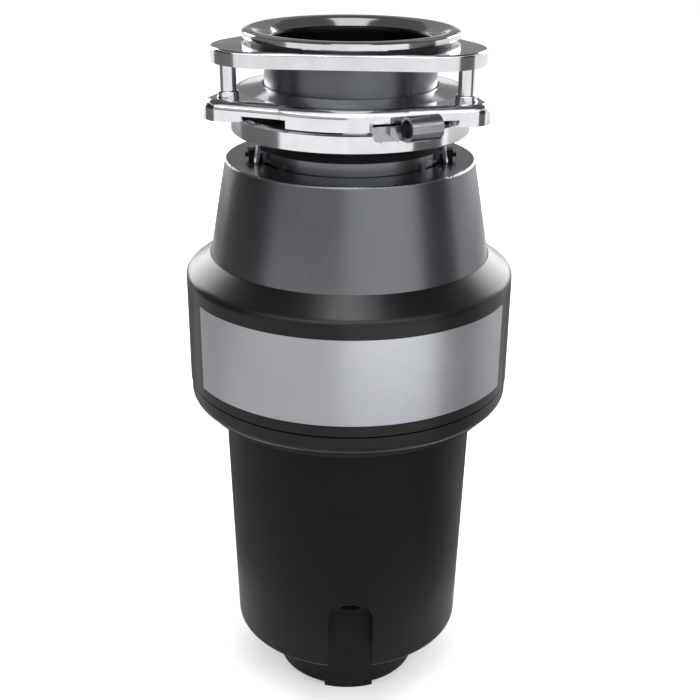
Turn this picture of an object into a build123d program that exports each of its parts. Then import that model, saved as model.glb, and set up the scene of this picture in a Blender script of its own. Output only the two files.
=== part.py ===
from build123d import *
from math import acos, cos, degrees, radians, sin, tan
import os

# Fits and clearances
RUN_FIT = 0.05
TURN_GAP = 0.6
SLIDE_GAP = 0.4
LOOSE_GAP = 1.2
TIP_GAP = 1.0
MERGE = 0.5
CUT_PAST = 5.0

# Base cover
BASE_R = 41.0
BASE_H = 31.5
BASE_WALL = 3.0
BASE_EDGE = 1.5
TONGUE_STEP = 2.1
TONGUE_H = 27.0
TONGUE_W = 28.0
WRENCH_HOLE_R = 9.0
BASE_SCREW_CIRCLE_R = 32.5
BASE_SCREW_R = 2.0
BASE_HEAD_R = 3.6
BASE_HEAD_H = 2.6
BASE_BOSS_R = 5.0
BASE_SCREW_GRIP = 8.0
BASE_SLOT_W = 1.0
BASE_SLOT_H = 1.0

# Reset button and overload switch
BUTTON_IN = 20.0
BUTTON_R = 5.0
BUTTON_RECESS = 0.8
BUTTON_STEM_H = 11.5
BUTTON_FLANGE_R = 6.6
BUTTON_FLANGE_T = 2.0
BUTTON_GUIDE_WALL = 2.4
BUTTON_TRAVEL = 3.0
BUTTON_EDGE = 0.6
SPRING_R = 3.6
SPRING_WIRE_R = 0.35
SPRING_TURNS = 4
SPRING_PACKED_H = 4.0
SWITCH_W = 25.0
SWITCH_L = 19.0
SWITCH_H = 7.0
SWITCH_LEG_T = 3.0
SWITCH_LEG_L = 13.0
BLADE_W = 6.0
BLADE_T = 1.0
TERMINAL_L = 18.0
TERMINAL_W = 12.0
TERMINAL_H = 11.0
TERMINAL_Y = -11.0
TERMINAL_HOLE_R = 1.6
TERMINAL_HOLE_H = 4.0

# Motor housing
HOUSING_FOOT_R = 65.3
HOUSING_TOP_R = 69.5
HOUSING_H = 154.5
HOUSING_WALL = 2.5
HOUSING_FLOOR = 3.5
HOUSING_EDGE = 2.2
HOUSING_FLOOR_HOLE_R = 25.0
NOTCH_W = 24.5
NOTCH_H = 45.1

# Cable chute and gland behind the notch
CHUTE_WALL = 2.5
CHUTE_BACK_Y = 43.4
CHUTE_TILT = 40.0
CHUTE_ROOF_START = 21.7
GLAND_UP = 13.1
GLAND_BORE_R = 5.6
GLAND_WALL = 1.2
GLAND_RIM = 1.4
GLAND_EDGE = 0.9
GLAND_FLANGE_T = 2.2
GLAND_TAIL = 5.0

# Motor
LEG_H = 25.0
LEG_R = 5.0
BELL_R = 38.0
BELL_T = 6.0
BELL_HUB_R = 20.5
BELL_ARM_W = 9.0
POST_R = 5.0
POST_H = 20.0
POST_CIRCLE_R = 53.5
STATOR_R = 59.0
STATOR_BORE_R = 30.4
STATOR_H = 52.0
STATOR_SLOTS = 12
SLOT_W = 5.0
SLOT_DEPTH = 12.0
ROTOR_GAP = 0.8
COIL_IN_R = 32.5
COIL_OUT_R = 43.5
COIL_H = 17.0
COIL_ROUND = 3.5
END_RING_IN_R = 19.0
END_RING_OUT_R = 28.0
END_RING_H = 6.0
FAN_BLADES = 8
FAN_H = 6.0
FAN_T = 1.8
FAN_INSET = 0.8
SHAFT_R = 6.0
SHAFT_FOOT_Z = 25.0
SHAFT_HEX = 6.4
SHAFT_HEX_DEPTH = 9.0
SHAFT_EDGE = 0.8
BEARING_R = 16.0
BEARING_H = 10.0
BEARING_GROOVE = 0.8
BEARING_GROOVE_W = 4.0
TIE_BOLT_R = 2.0
TIE_HEAD_R = 3.6
TIE_HEAD_H = 3.0
CAPACITOR_R = 10.5
CAPACITOR_H = 26.0
CAPACITOR_Y = 50.5
CAPACITOR_ROUND = 1.5
TAG_X = 4.0
TAG_W = 4.0
TAG_T = 0.8
TAG_H = 4.0

# Drain chamber with its outlet at the back
DRAIN_SEAT = 2.0
DRAIN_FLOOR = 5.0
DRAIN_WALL = 4.0
DRAIN_H = 42.0
DRAIN_FLANGE_IN = 5.6
DRAIN_FLANGE_T = 5.0
DRAIN_SKIRT_T = 3.0
DRAIN_SKIRT_H = 6.0
DRAIN_HUB_R = 20.0
DRAIN_HUB_H = 18.0
SEAL_R = 13.0
SEAL_H = 8.0
SLINGER_R = 17.0
SLINGER_T = 2.5
SLINGER_HUB = 3.0
OUTLET_BORE_R = 16.5
OUTLET_WALL = 3.0
OUTLET_RIM = 1.2
OUTLET_RISE = 4.0
OUTLET_FACE_IN = 1.6
OUTLET_FLANGE_T = 6.0
OUTLET_EAR_X = 29.0
OUTLET_EAR_R = 8.0
OUTLET_BOLT_R = 3.2
CHAMBER_GASKET_T = 1.0
CHAMBER_BOLT_R = 2.5
CHAMBER_BOLT_IN = 6.5
CHAMBER_BOLT_REACH = 6.0
CHAMBER_SOCKET_R = 2.0
CHAMBER_SOCKET_H = 2.0
CHAMBER_HEAD_R = 4.2
CHAMBER_HEAD_H = 3.5

# Hopper with its neck and dishwasher inlet
HOPPER_WALL = 3.0
HOPPER_STRAIGHT = 28.0
HOPPER_FLANGE_T = 5.0
NECK_R = 47.0
NECK_IN_R = 43.6
NECK_RISE = 19.2
NECK_BELOW = 8.0
NECK_LIP_R = 53.0
NECK_LIP_T = 3.2
INLET_AZ = 140.0
INLET_DROP = 24.0
INLET_R = 11.0
INLET_BORE_R = 8.5
INLET_REACH = 94.0
INLET_SHOULDER = 1.2
INLET_SHOULDER_REACH = 72.5
PLUG_T = 3.0
PLUG_AT = 62.0
RIB_H = 3.4
RIB_W = 3.4
RIB_OUT = 1.4
RIB_AZ = 47.0
FIN_AZ = 70.0
FIN_RISE = 3.0
FIN_W = 3.2
FIN_LEG = 1.3
FIN_OUT = 5.0

# Grinding parts
TABLE_T = 3.0
TABLE_LIFT = 1.5
TABLE_HUB_R = 12.0
TABLE_HUB_H = 4.5
TABLE_HOLES = 12
TABLE_HOLE_R = 2.6
TABLE_HOLE_IN = 6.6
NUT_R = 10.4
NUT_H = 7.0
NUT_CAP_T = 1.5
NUT_CAP_IN = 1.6
LUG_IN = 20.6
LUG_BOSS_R = 8.5
LUG_TAIL = 15.3
LUG_TAIL_R = 4.6
LUG_H = 12.0
LUG_TOE_H = 5.0
LUG_LIFT = 0.5
PIN_R = 4.0
PIN_HEAD_R = 6.2
PIN_HEAD_H = 2.0
SHRED_WALL = 3.1
SHRED_SEAT = 0.3
SHRED_H = 24.0
SHRED_TEETH = 24
SHRED_SLOT_W = 3.2
SHRED_SLOT_DEPTH = 1.6
SHRED_FOOT = 5.0

# Collar, name plate and upper cover
COLLAR_R = 87.6
COLLAR_WALL = 3.0
COLLAR_LAP = 11.0
LOWER_RING_H = 13.6
LOWER_RING_IN = 0.4
LOWER_LIP_IN = 6.1
LOWER_LIP_H = 3.0
LOWER_ROUND = 5.0
GROOVE_H = 1.0
LAP_T = 2.2
LAP_H = 6.0
BAND_H = 57.9
TAB_SPREAD = 4.0
SHOULDER_CORNER = 2.2
SHOULDER_ROUND = 5.0
SHOULDER_RISE = 11.5
PLATE_ARC = 123.4
PLATE_H = 45.5
PLATE_UP = 6.1
PLATE_SHEET = 0.8
PLATE_RECESS = 0.4
COVER_FOOT_IN = 13.5
COVER_TAPER = 9.2
COVER_H = 50.6
COVER_WALL = 2.5
COVER_EDGE = 1.2
CLIP_AZ = 80.0
CLIP_BACK_AZ = 20.0
CLIP_W = 6.0
CLIP_OUT = 6.6
CLIP_H = 5.4
NUB_OUT = 1.6
NUB_W = 3.0
NUB_H = 2.0
LINER_GAP = 3.0
LINER_T = 6.5

# Sink mount
HALF_THIRD = 60.0
MOUNT_CLOCK = -5.55
GASKET_T = 1.5
GASKET_TOP_T = 2.0
GASKET_SLEEVE_H = 12.2
GASKET_SLEEVE_T = 1.6
LOCK_R = 61.3
LOCK_H = 9.6
LOCK_FALL = 1.2
LOCK_WALL = 3.8
LOCK_LIP_T = 2.0
LOCK_LIP_IN_R = 50.0
LOCK_GAP = 0.3
LOCK_EDGE = 0.8
TAB_IN_R = 55.0
TAB_T = 2.2
TAB_ARC = 12.0
TAB_HOOK_T = 2.0
TAB_TOP = 7.9
TAB_ROOT_H = 4.0
BRACKET_AZ0 = 8.5
BRACKET_AZ1 = 42.0
BRACKET_T = 1.4
BRACKET_H = 4.3
BRACKET_FOOT_H = 2.8
HOOK_AZ = (8.5, 15.6)
HOOK_W = 4.4
HOOK_OUT = 3.6
HOOK_DROP = 3.0
LEVER_AZ = 25.4
LEVER_R = 72.0
LEVER_OUT_R = 5.8
LEVER_BORE_R = 4.2
LEVER_L = 16.6
SADDLE_INSET = 2.0
LEVER_UP = 4.4
SKIRT_R = 62.0
SKIRT_WALL = 2.0
SKIRT_LIFT = 1.2
SKIRT_H = 3.9
RAMP_AZ0 = -31.7
RAMP_AZ1 = 7.5
RAMP_STOP = 1.0
LEDGE_IN_R = 57.8
LEDGE_T = 1.4
LEDGE_DROP = 1.8
LEDGE_STEPS = 5
FLANGE_SLAB_H = 6.5
FLANGE_ROUND = 4.4
FLANGE_ROOF = 3.2
HUB_RISE = 1.7
HUB_SLOPE_R = 57.0
HUB_WALL = 3.0
HUB_FOOT = 2.0
HUB_RIM = 1.4
EAR_R = 12.2
EAR_SPREAD = 43.5
EAR_CIRCLE_R = 66.3
EAR_DROP = 3.5
EAR_BOSS_R = 5.6
EAR_BOSS_H = 0.4
CLAMP_R = 4.0
CLAMP_TIP_R = 2.4
CLAMP_TIP_H = 3.0
CLAMP_SLOT_W = 1.4
CLAMP_SLOT_H = 2.0
COLLAR_NUT_R = 5.2
COLLAR_NUT_H = 2.8
COLLAR_NUT_ROUND = 0.9
SUPPORT_LIFT = 14.6
SUPPORT_CORNER_CIRCLE_R = 44.1
SUPPORT_CORNER_R = 29.4
SUPPORT_T = 7.4
SUPPORT_ROUND = 1.4
SUPPORT_EDGE = 1.0
SLEEVE_R = 44.0
SLEEVE_WALL = 2.4
SNAP_T = 2.0
SNAP_LIFT = 2.4
SNAP_DEPTH = 1.1
SNAP_OUT = 2.2
SNAP_SPLIT = 6.0
SINK_GASKET_T = 1.8
SINK_GASKET_IN_R = 46.5
LIP_R = 55.0
LIP_WALL_H = 2.8
LIP_CREST_IN = 4.5
LIP_EDGE = 0.4
LIP_BEVEL = 0.5
FUNNEL_MID_IN = 9.0
FUNNEL_MID_DROP = 1.6
FUNNEL_FOOT_OUT = 0.9
FUNNEL_FOOT_DROP = 0.6
LIP_H = 3.9
LIP_NECK = 1.4
GUARD_DROP = 9.0
GUARD_H = 9.0
GUARD_WALL = 2.4
GUARD_SAG = 6.0
GUARD_T = 2.2
GUARD_HOLE_R = 13.0
GUARD_SLITS = 8
GUARD_SLIT_W = 1.2
GUARD_SLIT_R = 35.0

# Levels that follow from the sizes above
z_housing = BASE_H
z_housing_top = z_housing + HOUSING_H
z_floor_top = z_housing + HOUSING_FLOOR
z_bell = z_floor_top + LEG_H
z_bell_top = z_bell + BELL_T
z_stator = z_bell_top + POST_H
z_stator_top = z_stator + STATOR_H
z_drain = z_housing_top
z_drain_floor = z_drain + DRAIN_FLOOR
z_drain_top = z_drain + DRAIN_H + DRAIN_FLANGE_T
z_outlet = z_drain_floor + OUTLET_RISE + OUTLET_BORE_R
z_hopper = z_drain_top + CHAMBER_GASKET_T
z_table = z_hopper + TABLE_LIFT
z_table_top = z_table + TABLE_T
z_lug = z_table_top + LUG_LIFT
z_collar = z_housing_top - COLLAR_LAP
z_band = z_collar + LOWER_RING_H + GROOVE_H
z_shoulder = z_band + BAND_H
z_cover = z_shoulder + SHOULDER_RISE
z_cover_top = z_cover + COVER_H
z_inlet = z_cover_top - INLET_DROP
z_lip = z_cover_top + NECK_RISE
z_lip_top = z_lip + NECK_LIP_T
z_sleeve = z_lip_top + GASKET_TOP_T
z_lock = z_lip - GASKET_T - LOCK_GAP - LOCK_LIP_T - LOCK_FALL
z_lock_top = z_lock + LOCK_H
z_skirt = z_lock_top + SKIRT_LIFT
z_slab = z_skirt + SKIRT_H
z_slab_top = z_slab + FLANGE_SLAB_H
z_hub_top = z_slab_top + HUB_RISE
z_snap = z_sleeve + SNAP_LIFT
z_ear_top = z_slab_top + EAR_BOSS_H
z_support = z_hub_top + SUPPORT_LIFT
z_support_top = z_support + SUPPORT_T
z_lip_under = z_support_top + SINK_GASKET_T
z_guard = z_lip_under - GUARD_DROP
collar_in_r = COLLAR_R - COLLAR_WALL
drain_flange_r = collar_in_r - DRAIN_FLANGE_IN
chamber_bolt_circle_r = drain_flange_r - CHAMBER_BOLT_IN
drain_wall_r = chamber_bolt_circle_r - CHAMBER_BOLT_IN
drain_in_r = drain_wall_r - DRAIN_WALL
drain_r = HOUSING_TOP_R + DRAIN_SEAT
outlet_face_y = COLLAR_R - OUTLET_FACE_IN
hopper_r = drain_in_r - TIP_GAP
hopper_in_r = hopper_r - HOPPER_WALL
shred_in_r = hopper_in_r - SHRED_SEAT - SHRED_WALL
table_r = shred_in_r - TIP_GAP
table_hole_circle_r = table_r - TABLE_HOLE_IN
lug_circle_r = table_r - LUG_IN
cover_foot_r = COLLAR_R - COVER_FOOT_IN
cover_top_r = cover_foot_r - COVER_TAPER
sleeve_in_r = SLEEVE_R - SLEEVE_WALL
skirt_in_r = SKIRT_R - SKIRT_WALL
base_in_r = BASE_R - BASE_WALL
gland_body_r = GLAND_BORE_R + GLAND_WALL
button_y = BASE_R - BUTTON_IN
guide_top = BUTTON_RECESS + BUTTON_STEM_H
button_top = guide_top + BUTTON_FLANGE_T
spring_h = BUTTON_TRAVEL + SPRING_PACKED_H
hub_foot = z_bell_top - BEARING_H - BELL_T - TIP_GAP
ear_azimuths = (MOUNT_CLOCK + HALF_THIRD, MOUNT_CLOCK + 180.0, MOUNT_CLOCK - HALF_THIRD)
thirds = (0.0, 120.0, -120.0)
quarters = (45.0, 135.0, 225.0, 315.0)


def polar(r, az):
    return (r * sin(radians(az)), -r * cos(radians(az)))


def turned(points):
    face = make_face(Polyline(*points, close=True))
    return revolve(Plane.XZ * face, Axis.Z)


def ring(r_in, r_out, z0, z1):
    return turned([(r_in, z0), (r_out, z0), (r_out, z1), (r_in, z1)])


def disc(r, z0, z1, at=(0.0, 0.0)):
    return Pos(at[0], at[1], (z0 + z1) / 2) * Cylinder(r, z1 - z0)


def block(x0, x1, y0, y1, z0, z1):
    centre = Pos((x0 + x1) / 2, (y0 + y1) / 2, (z0 + z1) / 2)
    return centre * Box(x1 - x0, y1 - y0, z1 - z0)


def arc_block(r_in, r_out, z0, z1, az0, az1):
    corners = [(r_in, z0), (r_out, z0), (r_out, z1), (r_in, z1)]
    face = make_face(Polyline(*corners, close=True))
    solid = revolve(Plane.XZ * face, Axis.Z, revolution_arc=az1 - az0)
    return Rot(0, 0, az0 - 90.0) * solid


def radial_block(r0, r1, width, z0, z1, az):
    return Rot(0, 0, az) * block(-width / 2, width / 2, -r1, -r0, z0, z1)


def around(solid, azimuths):
    group = Part()
    for az in azimuths:
        group += Rot(0, 0, az) * solid
    return group


def screw_down(r, head_r, head_h, z0, z1, at):
    return disc(r, z0, z1, at) + disc(head_r, z1, z1 + head_h, at)


def housing_r(z):
    share = (z - z_housing) / HOUSING_H
    return HOUSING_FOOT_R + share * (HOUSING_TOP_R - HOUSING_FOOT_R)


# Base cover, its screws and the electrical parts inside it
def base_cover():
    cup = disc(BASE_R, 0, BASE_H)
    cup = fillet(cup.edges().group_by(Axis.Z)[0], BASE_EDGE)
    tongue = disc(BASE_R + TONGUE_STEP, 0, TONGUE_H)
    tongue = tongue & block(-TONGUE_W / 2, TONGUE_W / 2, -2 * BASE_R, -BASE_R / 2, 0, BASE_H)
    cup = cup + tongue
    cup = cup - disc(base_in_r, BASE_WALL, BASE_H)
    for az in thirds:
        cup += disc(BASE_BOSS_R, BASE_WALL, BASE_H, polar(BASE_SCREW_CIRCLE_R, az))
    cup += disc(BUTTON_R + BUTTON_GUIDE_WALL, BASE_WALL, guide_top, (0, button_y))
    cup -= disc(BUTTON_R + RUN_FIT, 0, guide_top, (0, button_y))
    cup -= disc(WRENCH_HOLE_R, 0, BASE_WALL)
    for az in thirds:
        cup -= disc(BASE_SCREW_R + RUN_FIT, 0, BASE_H, polar(BASE_SCREW_CIRCLE_R, az))
        cup -= disc(BASE_HEAD_R + SLIDE_GAP, 0, BASE_HEAD_H + TURN_GAP, polar(BASE_SCREW_CIRCLE_R, az))
    return cup


def base_screws():
    group = Part()
    for az in thirds:
        at = polar(BASE_SCREW_CIRCLE_R, az)
        head = disc(BASE_HEAD_R, TURN_GAP, BASE_HEAD_H + TURN_GAP, at)
        half = BASE_SLOT_W / 2
        slot = block(-BASE_HEAD_R, BASE_HEAD_R, -half, half, TURN_GAP, TURN_GAP + BASE_SLOT_H)
        head -= Pos(at[0], at[1], 0) * slot
        neck = TURN_GAP + BASE_HEAD_H
        group += head + disc(BASE_SCREW_R, neck, z_floor_top + BASE_SCREW_GRIP, at)
    return group


def reset_button():
    stem = disc(BUTTON_R, BUTTON_RECESS, guide_top, (0, button_y))
    stem = chamfer(stem.edges().group_by(Axis.Z)[0], BUTTON_EDGE)
    return stem + disc(BUTTON_FLANGE_R, guide_top, button_top, (0, button_y))


def reset_spring():
    foot = button_top + SPRING_WIRE_R
    rise = spring_h - 2 * SPRING_WIRE_R
    path = Helix(rise / SPRING_TURNS, rise, SPRING_R)
    wire = Plane(origin=path @ 0, z_dir=path % 0) * Circle(SPRING_WIRE_R)
    return Pos(0, button_y, foot) * sweep(wire, path, is_frenet=True)


def overload_switch():
    z0 = button_top + spring_h
    half = SWITCH_W / 2
    y0 = button_y - SWITCH_L / 2
    body = block(-half, half, y0, y0 + SWITCH_L, z0, z0 + SWITCH_H)
    for side in (-1, 1):
        edge = side * (half - SWITCH_LEG_T / 2)
        x0 = edge - SWITCH_LEG_T / 2
        x1 = edge + SWITCH_LEG_T / 2
        leg = SWITCH_LEG_L / 2
        body += block(x0, x1, button_y - leg, button_y + leg, BASE_WALL, z0)
        blade = Pos(side * half / 2, y0, z0 + SWITCH_H / 2)
        body += blade * Box(BLADE_W, BLADE_W, BLADE_T)
    return body


def terminal_block():
    x1 = -WRENCH_HOLE_R - TIP_GAP
    half = TERMINAL_W / 2
    top = BASE_WALL + TERMINAL_H
    body = block(x1 - TERMINAL_L, x1, TERMINAL_Y - half, TERMINAL_Y + half, BASE_WALL, top)
    for count in (1, 2, 3):
        at = (x1 - TERMINAL_L * count / 4, TERMINAL_Y)
        body -= disc(TERMINAL_HOLE_R, top - TERMINAL_HOLE_H, top, at)
    return body


# Motor housing with the arched cable notch
def arch(y0, y1, half, z0, top):
    shape = block(-half, half, y0, y1, z0, top - half)
    bow = Pos(0, (y0 + y1) / 2, top - half) * Rot(90, 0, 0) * Cylinder(half, y1 - y0)
    return shape + bow


def motor_housing():
    outer = [(0, z_housing), (HOUSING_FOOT_R, z_housing), (HOUSING_TOP_R, z_housing_top)]
    shell = turned(outer + [(0, z_housing_top)])
    shell = fillet(shell.edges().group_by(Axis.Z)[0], HOUSING_EDGE)
    foot_in = housing_r(z_floor_top) - HOUSING_WALL
    top_in = HOUSING_TOP_R - HOUSING_WALL
    inner = [(0, z_floor_top), (foot_in, z_floor_top), (top_in, z_housing_top)]
    shell -= turned(inner + [(0, z_housing_top)])
    shell -= disc(HOUSING_FLOOR_HOLE_R, z_housing, z_floor_top)
    reach = -HOUSING_TOP_R - TIP_GAP
    half = NOTCH_W / 2
    shell -= arch(reach, -CHUTE_BACK_Y, half, z_housing, z_housing + NOTCH_H)
    shell -= block(-half, half, -CHUTE_BACK_Y, CHUTE_WALL - CHUTE_BACK_Y, z_housing, z_floor_top)
    for az in thirds:
        at = polar(BASE_SCREW_CIRCLE_R, az)
        shell -= disc(BASE_SCREW_R + RUN_FIT, z_housing, z_floor_top, at)
    return shell


def chute_roof(y):
    start = z_housing + CHUTE_ROOF_START
    return start + (abs(y) - CHUTE_BACK_Y) / tan(radians(CHUTE_TILT))


def gland_plane():
    tilt = radians(CHUTE_TILT)
    y = -CHUTE_BACK_Y - GLAND_UP
    return Plane(origin=(0, y, chute_roof(y)), x_dir=(1, 0, 0), z_dir=(0, -cos(tilt), -sin(tilt)))


def cable_chute():
    inner = NOTCH_W / 2
    half = inner + CHUTE_WALL
    back = -CHUTE_BACK_Y
    far = -2 * BASE_R
    top = z_stator - TIP_GAP
    front_r = housing_r(z_floor_top) - HOUSING_WALL - LOOSE_GAP
    body = block(-half, half, far, back + CHUTE_WALL, z_floor_top, top)
    body = body & disc(front_r, z_floor_top, top)
    below = Pos(0, 0, HOUSING_TOP_R) * Box(4 * half, 4 * BASE_R, 2 * HOUSING_TOP_R)
    channel = arch(far, back, inner, z_housing, z_housing + NOTCH_H + LOOSE_GAP)
    lower = block(-inner, inner, far, back, z_housing, chute_roof(back))
    body -= (channel & (gland_plane() * below)) + lower
    body -= gland_plane() * Cylinder(gland_body_r, 6 * GLAND_TAIL)
    body = body & disc(front_r, z_floor_top, top)
    body -= disc(COIL_OUT_R + TIP_GAP, z_stator - COIL_H - TIP_GAP, top)
    body += block(-inner, inner, back, back + CHUTE_WALL, z_housing, z_floor_top)
    return body + block(-inner, inner, back, -BASE_R - SLIDE_GAP, TONGUE_H + SLIDE_GAP, z_housing)


def cable_gland():
    flange_r = gland_body_r + GLAND_RIM
    flange = Pos(0, 0, GLAND_FLANGE_T / 2) * Cylinder(flange_r, GLAND_FLANGE_T)
    flange = fillet(flange.edges().group_by(Axis.Z)[-1], GLAND_EDGE)
    tail = Pos(0, 0, -GLAND_TAIL / 2) * Cylinder(gland_body_r, GLAND_TAIL)
    bore = Cylinder(GLAND_BORE_R, 4 * GLAND_TAIL)
    return gland_plane() * (flange + tail - bore)


# Motor, from the lower end bell up
def lower_end_bell():
    body = disc(BELL_R, z_bell, z_bell_top) + disc(BELL_HUB_R, hub_foot, z_bell_top)
    for az in quarters:
        body += radial_block(BELL_HUB_R, POST_CIRCLE_R, BELL_ARM_W, z_bell, z_bell_top, az)
        body += disc(POST_R, z_bell, z_stator, polar(POST_CIRCLE_R, az))
    for az in thirds:
        body += disc(LEG_R, z_floor_top, z_bell, polar(BASE_SCREW_CIRCLE_R, az))
    body -= disc(BEARING_R, hub_foot, hub_foot + BEARING_H)
    body -= disc(SHAFT_R + LOOSE_GAP, hub_foot, z_bell_top)
    for az in quarters:
        body -= disc(TIE_BOLT_R + RUN_FIT, z_bell, z_stator, polar(POST_CIRCLE_R, az))
    for az in thirds:
        grip = z_floor_top + BASE_SCREW_GRIP + TIP_GAP
        body -= disc(BASE_SCREW_R + RUN_FIT, z_floor_top, grip, polar(BASE_SCREW_CIRCLE_R, az))
    return body


def bearing(z0):
    body = ring(SHAFT_R + RUN_FIT, BEARING_R, z0, z0 + BEARING_H)
    mid = (SHAFT_R + BEARING_R) / 2
    half = BEARING_GROOVE_W / 2
    groove = ring(mid - half, mid + half, z0, z0 + BEARING_GROOVE)
    lift = BEARING_H - BEARING_GROOVE
    return body - groove - Pos(0, 0, lift) * groove


def lower_bearing():
    return bearing(hub_foot)


def upper_bearing():
    return bearing(z_drain - DRAIN_HUB_H + TIP_GAP)


def stator_core():
    core = ring(STATOR_BORE_R, STATOR_R, z_stator, z_stator_top)
    for count in range(STATOR_SLOTS):
        az = count * 360.0 / STATOR_SLOTS
        deep = STATOR_BORE_R + SLOT_DEPTH
        core -= radial_block(STATOR_BORE_R - TIP_GAP, deep, SLOT_W, z_stator, z_stator_top, az)
    for az in quarters:
        core -= disc(TIE_BOLT_R + RUN_FIT, z_stator, z_stator_top, polar(POST_CIRCLE_R, az))
    return core


def stator_windings():
    low = ring(COIL_IN_R, COIL_OUT_R, z_stator - COIL_H, z_stator)
    low = fillet(low.edges().group_by(Axis.Z)[0], COIL_ROUND)
    high = ring(COIL_IN_R, COIL_OUT_R, z_stator_top, z_stator_top + COIL_H)
    high = fillet(high.edges().group_by(Axis.Z)[-1], COIL_ROUND)
    return Part() + low + high


def rotor_core():
    return ring(SHAFT_R, STATOR_BORE_R - ROTOR_GAP, z_stator, z_stator_top)


def rotor_end_rings():
    low = ring(END_RING_IN_R, END_RING_OUT_R, z_stator - END_RING_H, z_stator)
    high = ring(END_RING_IN_R, END_RING_OUT_R, z_stator_top, z_stator_top + END_RING_H)
    top = z_stator_top + END_RING_H
    for count in range(FAN_BLADES):
        az = count * 360.0 / FAN_BLADES
        r0 = END_RING_IN_R + FAN_INSET
        r1 = END_RING_OUT_R - FAN_INSET
        high += radial_block(r0, r1, FAN_T, top, top + FAN_H, az)
    return Part() + low + high


def motor_shaft():
    top = z_table_top + TABLE_HUB_H + NUT_H - NUT_CAP_T
    body = disc(SHAFT_R, SHAFT_FOOT_Z, top)
    body = chamfer(body.edges().group_by(Axis.Z)[0], SHAFT_EDGE)
    socket = extrude(RegularPolygon(SHAFT_HEX / 2, 6, major_radius=False), SHAFT_HEX_DEPTH)
    return body - Pos(0, 0, SHAFT_FOOT_Z) * socket


def through_bolts():
    group = Part()
    top = z_drain + DRAIN_FLOOR / 2
    for az in quarters:
        at = polar(POST_CIRCLE_R, az)
        head = disc(TIE_HEAD_R, z_bell - TIE_HEAD_H, z_bell, at)
        group += disc(TIE_BOLT_R, z_bell, top, at) + head
    return group


def capacitor():
    top = z_floor_top + CAPACITOR_H
    can = disc(CAPACITOR_R, z_floor_top, top, (0, CAPACITOR_Y))
    can = fillet(can.edges().group_by(Axis.Z)[-1], CAPACITOR_ROUND)
    for x in (-TAG_X, TAG_X):
        can += Pos(x, CAPACITOR_Y, top + TAG_H / 2) * Box(TAG_W, TAG_T, TAG_H)
    return can


# Drain chamber with the discharge outlet at the back
def outlet_flange():
    y0 = outlet_face_y - OUTLET_FLANGE_T
    outer = OUTLET_BORE_R + OUTLET_WALL + OUTLET_RIM
    shape = Circle(outer)
    tilt = degrees(acos((outer - OUTLET_EAR_R) / OUTLET_EAR_X))
    for side in (-1, 1):
        shape += Pos(side * OUTLET_EAR_X, 0) * Circle(OUTLET_EAR_R)
        dx = cos(radians(tilt)) * side
        dy = sin(radians(tilt))
        tip = side * OUTLET_EAR_X
        near = [(outer * dx, -outer * dy), (outer * dx, outer * dy)]
        end = tip + OUTLET_EAR_R * dx
        far = [(end, OUTLET_EAR_R * dy), (end, -OUTLET_EAR_R * dy)]
        shape += make_face(Polyline(*near, *far, close=True))
    for side in (-1, 1):
        shape -= Pos(side * OUTLET_EAR_X, 0) * Circle(OUTLET_BOLT_R)
    face = Plane(origin=(0, y0, z_outlet), x_dir=(-1, 0, 0), z_dir=(0, 1, 0))
    return extrude(face * shape, OUTLET_FLANGE_T)


def along_y(r, y0, y1, z):
    return Pos(0, (y0 + y1) / 2, z) * Rot(90, 0, 0) * Cylinder(r, y1 - y0)


def drain_chamber():
    wall_top = z_drain + DRAIN_H
    body = turned([
        (0, z_drain), (drain_r, z_drain), (drain_r, z_drain_floor),
        (drain_wall_r, z_drain_floor), (drain_wall_r, wall_top),
        (drain_flange_r, wall_top), (drain_flange_r, z_drain_top),
        (drain_in_r, z_drain_top), (drain_in_r, z_drain_floor), (0, z_drain_floor)])
    skirt_r = HOUSING_TOP_R - HOUSING_WALL - SLIDE_GAP
    body += ring(skirt_r - DRAIN_SKIRT_T, skirt_r, z_drain - DRAIN_SKIRT_H, z_drain)
    drain_hub = z_drain - DRAIN_HUB_H
    body += disc(DRAIN_HUB_R, drain_hub, z_drain)
    for az in quarters:
        body += disc(POST_R, z_stator_top, z_drain, polar(POST_CIRCLE_R, az))
    body += along_y(OUTLET_BORE_R + OUTLET_WALL, drain_wall_r - CUT_PAST, outlet_face_y, z_outlet)
    body -= disc(drain_in_r, z_drain_floor, z_drain_top)
    body += outlet_flange()
    body -= along_y(OUTLET_BORE_R, drain_in_r - 2 * CUT_PAST, outlet_face_y, z_outlet)
    body -= disc(BEARING_R, drain_hub, drain_hub + TIP_GAP + BEARING_H)
    body -= disc(SEAL_R, z_drain_floor - SEAL_H, z_drain_floor)
    body -= disc(SHAFT_R + LOOSE_GAP, drain_hub, z_drain_floor)
    for az in quarters:
        tie_top = z_drain + DRAIN_FLOOR / 2
        body -= disc(TIE_BOLT_R + RUN_FIT, z_stator_top, tie_top, polar(POST_CIRCLE_R, az))
        at = polar(chamber_bolt_circle_r, az)
        body -= disc(CHAMBER_BOLT_R + RUN_FIT, wall_top, z_drain_top, at)
    return body


def shaft_seal():
    z0 = z_drain_floor - SEAL_H
    points = [(SHAFT_R + LOOSE_GAP, z0), (SEAL_R, z0), (SEAL_R, z_drain_floor)]
    points += [(SHAFT_R + RUN_FIT, z_drain_floor), (SHAFT_R + RUN_FIT, z_drain_floor - SEAL_H / 3)]
    return turned(points)


def water_slinger():
    z0 = z_drain_floor + TIP_GAP
    points = [(SHAFT_R, z0), (SHAFT_R + SLINGER_HUB, z0), (SLINGER_R, z0 + SLINGER_T)]
    return turned(points + [(SLINGER_R, z0 + 2 * SLINGER_T), (SHAFT_R, z0 + 2 * SLINGER_T)])


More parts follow.
